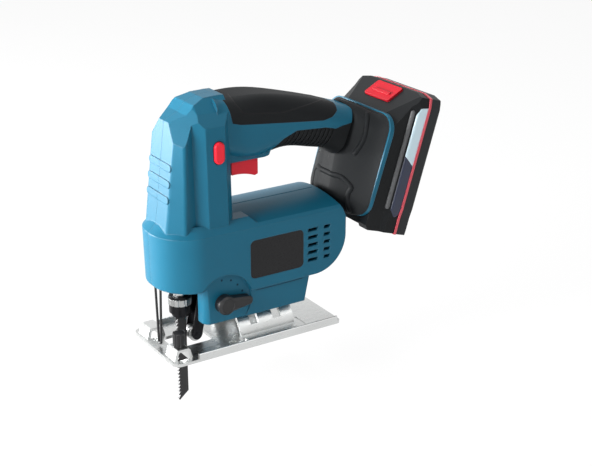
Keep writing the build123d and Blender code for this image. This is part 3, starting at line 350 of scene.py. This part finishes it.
def shader_mix(tree, share, first, second):
    """Shader from the first towards the second by a share."""
    node = tree.nodes.new("ShaderNodeMixShader")
    tree.links.new(share, node.inputs["Fac"])
    tree.links.new(first, node.inputs[1])
    tree.links.new(second, node.inputs[2])
    return node.outputs["Shader"]


def soft_edges(tree, radius):
    """Normal that rounds the sharp edges of a piece by a small radius."""
    node = tree.nodes.new("ShaderNodeBevel")
    node.samples = 4
    node.inputs["Radius"].default_value = radius
    return node.outputs["Normal"]


def grain_normal(tree, value, depth, edge):
    """Bump from a value, laid over softened edges where a radius is given."""
    node = tree.nodes.new("ShaderNodeBump")
    node.inputs["Strength"].default_value = GRAIN_STRENGTH
    node.inputs["Distance"].default_value = depth
    tree.links.new(value, node.inputs["Height"])
    if edge > 0:
        tree.links.new(soft_edges(tree, edge), node.inputs["Normal"])
    return node.outputs["Normal"]


def edge_highlight_share(tree, radius, patches):
    """Share of painted edge highlight: how far the softened normal turns away, broken up by a value."""
    plain = tree.nodes.new("ShaderNodeNewGeometry")
    turn = tree.nodes.new("ShaderNodeVectorMath")
    turn.operation = "DOT_PRODUCT"
    tree.links.new(soft_edges(tree, radius), turn.inputs[0])
    tree.links.new(plain.outputs["Normal"], turn.inputs[1])
    highlight_share = mapped(tree, turn.outputs["Value"], HIGHLIGHT_START, HIGHLIGHT_FULL)
    return maths(tree, "MULTIPLY", highlight_share, patches)


def toned(colour, factor):
    """A colour made lighter or darker."""
    return tuple(min(1.0, c * factor) for c in colour)


def moulded(name, colour, rough, grain, depth, edge, shine):
    """Moulded plastic or rubber: fine grain in gloss and relief, patchy tone and a painted highlight along the
    edges.
    """
    _, tree, shader = new_material(name)
    place = coordinates(tree)
    dark, light, patch_scale = MOULDED_TONES
    fine = noise(tree, place, grain, 2.0)
    broad = noise(tree, place, patch_scale, 3.0)
    tone = colour_mix(tree, broad, toned(colour, dark), toned(colour, light))
    # Lighter colour along the edges is a painted highlight.
    highlight_colour = [0.7 * c + 0.05 for c in colour]
    with_highlight = colour_mix(tree, edge_highlight_share(tree, edge, broad), tone, highlight_colour)
    gloss = mapped(tree, fine, NOISE_LOW, NOISE_HIGH, rough - 0.05, rough + 0.06)
    tree.links.new(with_highlight, shader.inputs["Base Color"])
    tree.links.new(gloss, shader.inputs["Roughness"])
    tree.links.new(grain_normal(tree, fine, depth, edge), shader.inputs["Normal"])
    shader.inputs["Specular IOR Level"].default_value = shine


def brushed(name, colour, rough, stretch, depth, edge):
    """Metal with fine streaks drawn out along one axis."""
    _, tree, shader = new_material(name)
    dark, light, patch_scale = BRUSHED_TONES
    streak = noise(tree, coordinates(tree, stretch), STREAK_SCALE, 3.0)
    broad = noise(tree, coordinates(tree), patch_scale, 2.0)
    tone = colour_mix(tree, broad, toned(colour, dark), toned(colour, light))
    gloss = mapped(tree, streak, NOISE_LOW, NOISE_HIGH, rough - 0.07, rough + 0.09)
    tree.links.new(tone, shader.inputs["Base Color"])
    tree.links.new(gloss, shader.inputs["Roughness"])
    tree.links.new(grain_normal(tree, streak, depth, edge), shader.inputs["Normal"])
    shader.inputs["Metallic"].default_value = 1.0


def label_split():
    """Height of the tone line in the turned frame, from one point of that line on the label."""
    point = LABEL_POINT[0] * MM * PACK_UP + LABEL_POINT[1] * MM * PACK_BACK
    return -math.sin(LABEL_SLANT) * point[0] + math.cos(LABEL_SLANT) * point[2]


def blank_label(name, light, dark):
    """Bare two-tone film: the light part is above a line across the tilted pack."""
    _, tree, shader = new_material(name)
    place = tree.nodes.new("ShaderNodeTexCoord")
    turn = tree.nodes.new("ShaderNodeMapping")
    turn.inputs["Rotation"].default_value = (0, LABEL_SLANT, 0)
    split = tree.nodes.new("ShaderNodeSeparateXYZ")
    tree.links.new(place.outputs["Object"], turn.inputs["Vector"])
    tree.links.new(turn.outputs["Vector"], split.inputs["Vector"])
    above = maths(tree, "GREATER_THAN", split.outputs["Z"], label_split())
    fine = noise(tree, coordinates(tree), 1800.0, 1.0)
    gloss = mapped(tree, fine, NOISE_LOW, NOISE_HIGH, 0.28, 0.36)
    tree.links.new(colour_mix(tree, above, dark, light), shader.inputs["Base Color"])
    tree.links.new(gloss, shader.inputs["Roughness"])


def make_finishes():
    """Makes every finish from the two tables, and the label's."""
    colours, sizes = settings()
    for name, colour, tone, rough, grain, depth, edge, shine in MOULDED_FINISHES:
        radius = sizes.edge if edge is None else edge * MM
        shade = toned(getattr(colours, colour), tone)
        moulded(name, shade, rough, grain, depth * MM, radius, shine)
    for name, colour, tone, rough, stretch, depth, edge in BRUSHED_FINISHES:
        shade = toned(getattr(colours, colour), tone)
        brushed(name, shade, rough, stretch, depth * MM, edge * MM)
    blank_label("bare label", colours.label_light, colours.label_dark)


def finish(name):
    """A finish by its name. The first call makes them all."""
    if name not in bpy.data.materials:
        make_finishes()
    return bpy.data.materials[name]


def dress(nodes):
    """Gives CAD nodes the finish of their slot, or their own one where FINISH_OF_NODE has it."""
    for node in nodes:
        material = finish(FINISH_OF_NODE.get(node, FINISH_OF_SLOT[SLOT_OF[node]]))
        for place in frame["nodes"][node].material_slots:
            place.material = material


class DressGroup:
    """Operator part that dresses the CAD nodes listed in group."""

    group = ()

    def execute(self, context):
        dress(self.group)
        return {"FINISHED"}


class JIGSAW_OT_housing(DressGroup, bpy.types.Operator):
    """Dress the two housing halves, their plates and screws"""

    bl_idname = "jigsaw.housing"
    bl_label = "Housing"
    group = (
        "left_housing", "right_housing", "left_nameplate", "right_nameplate", "guard_wire",
        *sorted(n for n in BODY_OF if n.startswith("housing_screw")),
    )


class JIGSAW_OT_grips(DressGroup, bpy.types.Operator):
    """Dress the soft grips and the rear neck cover"""

    bl_idname = "jigsaw.grips"
    bl_label = "Soft grips"
    group = ("top_grip", "palm_grip", "left_neck_cover", "right_neck_cover")


class JIGSAW_OT_controls(DressGroup, bpy.types.Operator):
    """Dress the trigger, lock button, orbit selector and fence thumb screw"""

    bl_idname = "jigsaw.controls"
    bl_label = "Controls"
    group = ("trigger", "lock_button", "orbit_lever", "orbit_shaft", "fence_screw")


class JIGSAW_OT_drive(DressGroup, bpy.types.Operator):
    """Dress the motor, gears and switchgear inside the housing"""

    bl_idname = "jigsaw.drive"
    bl_label = "Drive"
    group = (
        *(n for n, body in BODY_OF.items() if body in ("rotor", "gear")),
        "lower_bush", "upper_bush", "dust_seal", "motor_can", "field_magnet", "motor_end_cap",
        "front_bearing", "rear_bearing", "gear_frame", "switch_body", "control_board",
        "terminal_block", "yoke_plate", "roller_pivot",
    )


class JIGSAW_OT_cutting(DressGroup, bpy.types.Operator):
    """Dress the plunger, blade, clamp and orbit roller"""

    bl_idname = "jigsaw.cutting"
    bl_label = "Blade and roller"
    group = (
        "plunger_rod", "blade", "blade_clamp", "clamp_collar", "roller_fork", "blade_roller",
    )


class JIGSAW_OT_sole(DressGroup, bpy.types.Operator):
    """Dress the sole plate, bevel saddle and its screws"""

    bl_idname = "jigsaw.sole"
    bl_label = "Sole"
    group = ("sole_plate", "bevel_saddle", "saddle_screw_1", "saddle_screw_2")


class JIGSAW_OT_pack(DressGroup, bpy.types.Operator):
    """Dress the battery pack and its release button"""

    bl_idname = "jigsaw.pack"
    bl_label = "Battery pack"
    group = tuple(n for n, body in BODY_OF.items() if body in ("pack", "release"))


def grid_mesh(name, points, closed=False):
    """Mesh from a grid of points, rows by columns, closed into a ring both ways on request."""
    index = np.arange(points.shape[0] * points.shape[1]).reshape(points.shape[:2])
    if closed:
        index = np.pad(index, ((0, 1), (0, 1)), mode="wrap")
    corners = [index[:-1, :-1], index[:-1, 1:], index[1:, 1:], index[1:, :-1]]
    quads = np.stack(corners, axis=-1).reshape(-1, 4)
    mesh = bpy.data.meshes.new(name)
    mesh.from_pydata(points.reshape(-1, 3).tolist(), [], quads.tolist())
    mesh.polygons.foreach_set("use_smooth", np.ones(len(mesh.polygons), dtype=bool))
    mesh.update()
    return mesh


def add_piece(mesh, material, body, wall=0.0):
    """Links a mesh in its material, riding on a body, with a wall below its face if given."""
    piece = bpy.data.objects.new(mesh.name, mesh)
    bpy.context.scene.collection.objects.link(piece)
    mesh.materials.append(material)
    if wall > 0:
        sheet = piece.modifiers.new("wall", "SOLIDIFY")
        sheet.thickness = wall
        sheet.offset = -1.0
    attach(piece, body)


def surface_trees(nodes):
    """Search trees of the CAD surfaces that a detail lies on."""
    trees = []
    for node in nodes:
        mesh = frame["nodes"][node].data
        mesh.calc_loop_triangles()
        corners = np.empty((len(mesh.vertices), 3), np.float32)
        faces = np.empty((len(mesh.loop_triangles), 3), np.int32)
        mesh.vertices.foreach_get("co", corners.ravel())
        mesh.loop_triangles.foreach_get("vertices", faces.ravel())
        trees.append(BVHTree.FromPolygons(corners.tolist(), faces.tolist()))
    return trees


def resting(trees, point):
    """Nearest surface point and its normal."""
    hits = [tree.find_nearest(Vector(point)) for tree in trees]
    best = min(hits, key=lambda hit: hit[3])
    return np.array(best[0]), np.array(best[1])


def path_run(points):
    """Distance along a path at each of its points."""
    lengths = np.linalg.norm(np.diff(points, axis=0), axis=1)
    return np.concatenate([[0], np.cumsum(lengths)])


def even_path(knots, step):
    """Catmull-Rom curve through the knots, sampled at even distances.

    Between b and c, with the neighbours a and d, it is half of
    2b + (c - a) t + (2a - 5b + 4c - d) t**2 + (3b - a - 3c + d) t**3.
    """
    ends = np.vstack([2 * knots[0] - knots[1], knots, 2 * knots[-1] - knots[-2]])
    t = np.linspace(0, 1, SPLINE_STEPS, endpoint=False)[:, None]
    a, b, c, d = (ends[k : len(ends) - 3 + k, None] for k in range(4))
    square = (2 * a - 5 * b + 4 * c - d) * t**2
    cube = (3 * b - a - 3 * c + d) * t**3
    spans = 0.5 * (2 * b + (c - a) * t + square + cube)
    curve = np.vstack([spans.reshape(-1, 3), knots[-1:]])
    run = path_run(curve)
    count = max(4, int(run[-1] / step))
    where = np.linspace(0, run[-1], count + 1)
    return np.stack([np.interp(where, run, curve[:, k]) for k in range(3)], axis=1)


def bead(name, knots, trees, half, rise):
    """Strip along a path on a surface: u * half across it and rise * (1 - u**2) off it.

    Half and rise are in mm. Both shrink to a round end over the last half width.
    """
    path = even_path(knots * MM, PATH_STEP * MM)
    rested = [resting(trees, point) for point in path]
    spine = np.array([r[0] for r in rested])
    normal = np.array([r[1] for r in rested])
    normal[1:-1] = normal[:-2] + normal[1:-1] + normal[2:]
    normal /= np.linalg.norm(normal, axis=1)[:, None]
    across = np.cross(np.gradient(spine, axis=0), normal)
    across /= np.linalg.norm(across, axis=1)[:, None]
    run = path_run(spine)
    near_end = np.clip(np.minimum(run, run[-1] - run) / (half * MM), 0, 1)
    taper = np.sqrt(np.clip(1 - (1 - near_end) ** 2, 0.01, 1))[:, None, None]
    u = np.linspace(-1, 1, BEAD_COLUMNS)[None, :, None]
    points = spine[:, None, :] + taper * u * half * MM * across[:, None, :]
    points = points + (taper * rise * (1 - u**2) - BEAD_SINK) * MM * normal[:, None, :]
    return grid_mesh(name, points)


def add_bead(side, name, knots, nodes, size, material, body, slot):
    """Adds a bead along a path that is given for the left side, or its mirror image."""
    path = np.array(knots, float) * (1, SIDES[side], 1)
    mesh = bead(f"{side}_{name}", path, surface_trees(nodes), *size)
    add_piece(mesh, material, body, WALL)


class JIGSAW_OT_seams(bpy.types.Operator):
    """Add painted shade along the seam on the top grip and along the step line of the skirt"""

    bl_idname = "jigsaw.seams"
    bl_label = "Seams"

    def execute(self, context):
        seam_shade_look = (finish("seam shade"), "housing", "grip_rubber")
        step_shade_look = (finish("step shade"), "housing", "body_teal")
        for side in SIDES:
            shell = [side + "_housing"]
            add_bead(side, "pad_seam", PAD_SEAM, ["top_grip"], PAD_SEAM_SIZE, *seam_shade_look)
            add_bead(side, "skirt_line", SKIRT_LINE, shell, SKIRT_LINE_SIZE, *step_shade_look)
        return {"FINISHED"}


class JIGSAW_OT_neck_beads(bpy.types.Operator):
    """Add the moulded beads that run down the rear neck cover"""

    bl_idname = "jigsaw.neck_beads"
    bl_label = "Neck beads"

    def execute(self, context):
        cover = ["left_neck_cover", "right_neck_cover"]
        look = (finish("soft rubber"), "housing", "grip_rubber")
        for side in SIDES:
            add_bead(side, "upper_bead", UPPER_BEAD, cover, UPPER_BEAD_SIZE, *look)
            add_bead(side, "lower_bead", LOWER_BEAD, cover, LOWER_BEAD_SIZE, *look)
        return {"FINISHED"}


def label_film(name, sign):
    """Film over the case side: height t runs from the low to the high outline at each s back.

    The side lies at the least of its flat, its front bevel, which rises with s, and the slopes
    at both ends. All measures are in mm.
    """
    flat = 35.0
    s = np.linspace(*FILM_SPAN, FILM_COLUMNS)[None, :]
    low, high = np.interp(s, *FILM_LOW), np.interp(s, *FILM_HIGH)
    t = low + (high - low) * np.linspace(0, 1, FILM_ROWS)[:, None]
    bevel = 33.78 + 0.48 * (s - 111)
    low_end = np.maximum(34.4, 34.44 + 0.1 * (t - 109))
    high_end = flat - 0.19 * (t - 183)
    reach = np.minimum(np.minimum(flat, bevel), np.minimum(low_end, high_end)) + FILM_LIFT
    points = t[..., None] * PACK_UP + s[..., None] * PACK_BACK
    points[..., 1] = sign * reach
    return grid_mesh(name, (points if sign < 0 else points[:, ::-1]) * MM)


class JIGSAW_OT_pack_trim(bpy.types.Operator):
    """Add the label film and the rail beside it on each side of the battery"""

    bl_idname = "jigsaw.pack_trim"
    bl_label = "Battery trim"

    def execute(self, context):
        rail = np.outer(RAIL_UP, PACK_UP) + RAIL_BACK * PACK_BACK + (0, RAIL_SIDE, 0)
        rail_look = (finish("rail grey"), "pack", "cover_grey")
        for side, turn in SIDES.items():
            film = label_film(side + "_label_film", -turn)
            add_piece(film, finish("bare label"), "pack", WALL)
            add_bead(side, "pack_rail", rail, ["pack_case"], RAIL_SIZE, *rail_look)
        return {"FINISHED"}


def selector_axis():
    """Place of the orbit selector's axis in X and Z, from its joint."""
    joint = next(j for j in frame["joints"] if j["name"] == "orbit_select")
    return joint["pos_m"][0], joint["pos_m"][2]


def domed_dot(name, centre, radius, rise):
    """Low dome facing minus Y: a square grid (u, v) drawn in to a disc, rise * (1 - r**2) high."""
    u, v = np.meshgrid(np.linspace(-1, 1, DOT_GRID), np.linspace(-1, 1, DOT_GRID))
    across = u * np.sqrt(1 - v**2 / 2)
    along = v * np.sqrt(1 - u**2 / 2)
    off = rise * (1 - across**2 - along**2)
    place = np.stack([radius * across, -off, radius * along], axis=-1)
    return grid_mesh(name, np.asarray(centre) + place)


def hub_ring(name, centre, radius, tube):
    """Torus round the Y axis: radius + tube * cos(b) away from it and tube * sin(b) along it."""
    a = np.linspace(0, 2 * np.pi, RING_STEPS, endpoint=False)[:, None]
    b = np.linspace(0, 2 * np.pi, TUBE_STEPS, endpoint=False)[None, :]
    reach = radius + tube * np.cos(b)
    place = np.stack([reach * np.cos(a), tube * np.sin(b) + 0 * a, reach * np.sin(a)], axis=-1)
    return grid_mesh(name, np.asarray(centre) + place, True)


class JIGSAW_OT_selector_marks(bpy.types.Operator):
    """Add the raised ring on the orbit lever's hub, lighter grey as a painted highlight, and the four setting dots
    above it
    """

    bl_idname = "jigsaw.selector_marks"
    bl_label = "Selector marks"

    def execute(self, context):
        sizes = settings()[1]
        tree = surface_trees(["left_housing"])[0]
        for number, (x, z) in enumerate(DOT_PLACES, 1):
            hit = tree.ray_cast(Vector((x * MM, DOT_DROP, z * MM)), Vector((0, 1, 0)))
            mesh = domed_dot(f"setting_dot_{number}", hit[0], sizes.dot, sizes.dot_rise)
            add_piece(mesh, finish("dot paint"), "housing", WALL)
        axis_x, axis_z = selector_axis()
        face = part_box("orbit_lever")[0][1]
        ring = hub_ring("hub_ring", (axis_x, face, axis_z), sizes.ring, RING_TUBE)
        # The ring's lighter grey is a painted highlight on the hub; the raised ring itself is shape.
        add_piece(ring, finish("pack cover"), BODY_OF["orbit_lever"])
        return {"FINISHED"}


def seen_rays(tree):
    """One for rays from the camera, a reflection or a clear piece, zero for light on the object."""
    path = tree.nodes.new("ShaderNodeLightPath").outputs
    seen = maths(tree, "MAXIMUM", path["Is Camera Ray"], path["Is Glossy Ray"])
    return maths(tree, "MAXIMUM", seen, path["Is Transmission Ray"])


def studio_floor(colour, height):
    """Wide pale floor that keeps a soft shadow, mixed with plain white where it is seen."""
    flat = FLOOR_HALF * np.array([[-1, -1], [1, -1], [1, 1], [-1, 1]], float)
    mesh = bpy.data.meshes.new("floor")
    mesh.from_pydata([(x, y, height) for x, y in flat], [], [(0, 1, 2, 3)])
    floor = bpy.data.objects.new("floor", mesh)
    bpy.context.scene.collection.objects.link(floor)
    material, tree, shader = new_material("pale floor")
    shader.inputs["Base Color"].default_value = (*colour, 1)
    shader.inputs["Roughness"].default_value = 0.9
    shader.inputs["Specular IOR Level"].default_value = 0.1
    white = tree.nodes.new("ShaderNodeEmission")
    white.inputs["Color"].default_value = WHITE
    white.inputs["Strength"].default_value = 1.0
    share = maths(tree, "MULTIPLY", seen_rays(tree), FLOOR_WHITE)
    mixed = shader_mix(tree, share, shader.outputs["BSDF"], white.outputs["Emission"])
    tree.links.new(mixed, tree.nodes["Material Output"].inputs["Surface"])
    mesh.materials.append(material)


def area_lamp(name, place, size, power):
    """Square soft lamp aimed at the tool."""
    data = bpy.data.lights.new(name, "AREA")
    data.size = size
    data.energy = power
    lamp = bpy.data.objects.new(name, data)
    lamp.location = place
    aim = Vector(LAMP_TARGET) - Vector(place)
    lamp.rotation_euler = aim.to_track_quat("-Z", "Y").to_euler()
    bpy.context.scene.collection.objects.link(lamp)


def studio_lights():
    """Key ahead of the nose, a low rim lamp beyond it, a weak fill and a lamp above."""
    for lamp in LAMPS:
        area_lamp(*lamp)


def studio_world():
    """Even pale surround that is white where it is seen."""
    world = bpy.data.worlds.new("studio surround")
    bpy.context.scene.world = world
    world.use_nodes = True
    tree = world.node_tree
    plain = tree.nodes["Background"]
    seen = tree.nodes.new("ShaderNodeBackground")
    for node, strength in ((plain, SURROUND_LIGHT), (seen, 1.0)):
        node.inputs["Color"].default_value = WHITE
        node.inputs["Strength"].default_value = strength
    shaders = (plain.outputs["Background"], seen.outputs["Background"])
    both = shader_mix(tree, seen_rays(tree), *shaders)
    tree.links.new(both, tree.nodes["World Output"].inputs["Surface"])


def studio_camera(lens):
    """Camera that stands as the photograph's did."""
    ahead = Vector(CAMERA_AHEAD).normalized()
    right = Vector(CAMERA_RIGHT).normalized()
    turn = Matrix((right, right.cross(ahead), -ahead)).transposed()
    data = bpy.data.cameras.new("photo_camera")
    data.lens = lens
    data.sensor_width = SENSOR_WIDTH
    data.sensor_fit = "HORIZONTAL"
    camera = bpy.data.objects.new("photo_camera", data)
    camera.matrix_world = Matrix.Translation(Vector(CAMERA_PLACE)) @ turn.to_4x4()
    bpy.context.scene.collection.objects.link(camera)
    bpy.context.scene.camera = camera
    bpy.context.scene.view_settings.view_transform = "Standard"


class JIGSAW_OT_stage(bpy.types.Operator):
    """Set up the floor, soft lights, backdrop and camera"""

    bl_idname = "jigsaw.stage"
    bl_label = "Studio"

    def execute(self, context):
        colours, sizes = settings()
        studio_floor(colours.floor, CAD_BOX[0][2] - sizes.floor_gap)
        studio_lights()
        studio_world()
        studio_camera(sizes.lens)
        return {"FINISHED"}


OPERATORS = (
    JIGSAW_OT_housing,
    JIGSAW_OT_grips,
    JIGSAW_OT_controls,
    JIGSAW_OT_drive,
    JIGSAW_OT_cutting,
    JIGSAW_OT_sole,
    JIGSAW_OT_pack,
    JIGSAW_OT_seams,
    JIGSAW_OT_neck_beads,
    JIGSAW_OT_pack_trim,
    JIGSAW_OT_selector_marks,
    JIGSAW_OT_stage,
)


class JIGSAW_PT_panel(bpy.types.Panel):
    """Buttons for each group of pieces"""

    bl_idname = "JIGSAW_PT_panel"
    bl_label = "Cordless jigsaw"
    bl_space_type = "VIEW_3D"
    bl_region_type = "UI"
    bl_category = "Jigsaw"

    def draw(self, context):
        for operator in OPERATORS:
            self.layout.operator(operator.bl_idname)


CLASSES = (JigsawColours, JigsawSizes, *OPERATORS, JIGSAW_PT_panel)


def register():
    """Registers the classes and the scene settings."""
    for item in CLASSES:
        bpy.utils.register_class(item)
    bpy.types.Scene.jigsaw_colours = bpy.props.PointerProperty(type=JigsawColours)
    bpy.types.Scene.jigsaw_sizes = bpy.props.PointerProperty(type=JigsawSizes)


def unregister():
    """Removes the scene settings and the classes."""
    del bpy.types.Scene.jigsaw_sizes
    del bpy.types.Scene.jigsaw_colours
    for item in reversed(CLASSES):
        bpy.utils.unregister_class(item)


def main():
    """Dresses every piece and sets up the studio."""
    register()
    bpy.ops.jigsaw.housing()
    bpy.ops.jigsaw.grips()
    bpy.ops.jigsaw.controls()
    bpy.ops.jigsaw.drive()
    bpy.ops.jigsaw.cutting()
    bpy.ops.jigsaw.sole()
    bpy.ops.jigsaw.pack()
    bpy.ops.jigsaw.seams()
    bpy.ops.jigsaw.neck_beads()
    bpy.ops.jigsaw.pack_trim()
    bpy.ops.jigsaw.selector_marks()
    bpy.ops.jigsaw.stage()


if __name__ == "__main__":
    main()
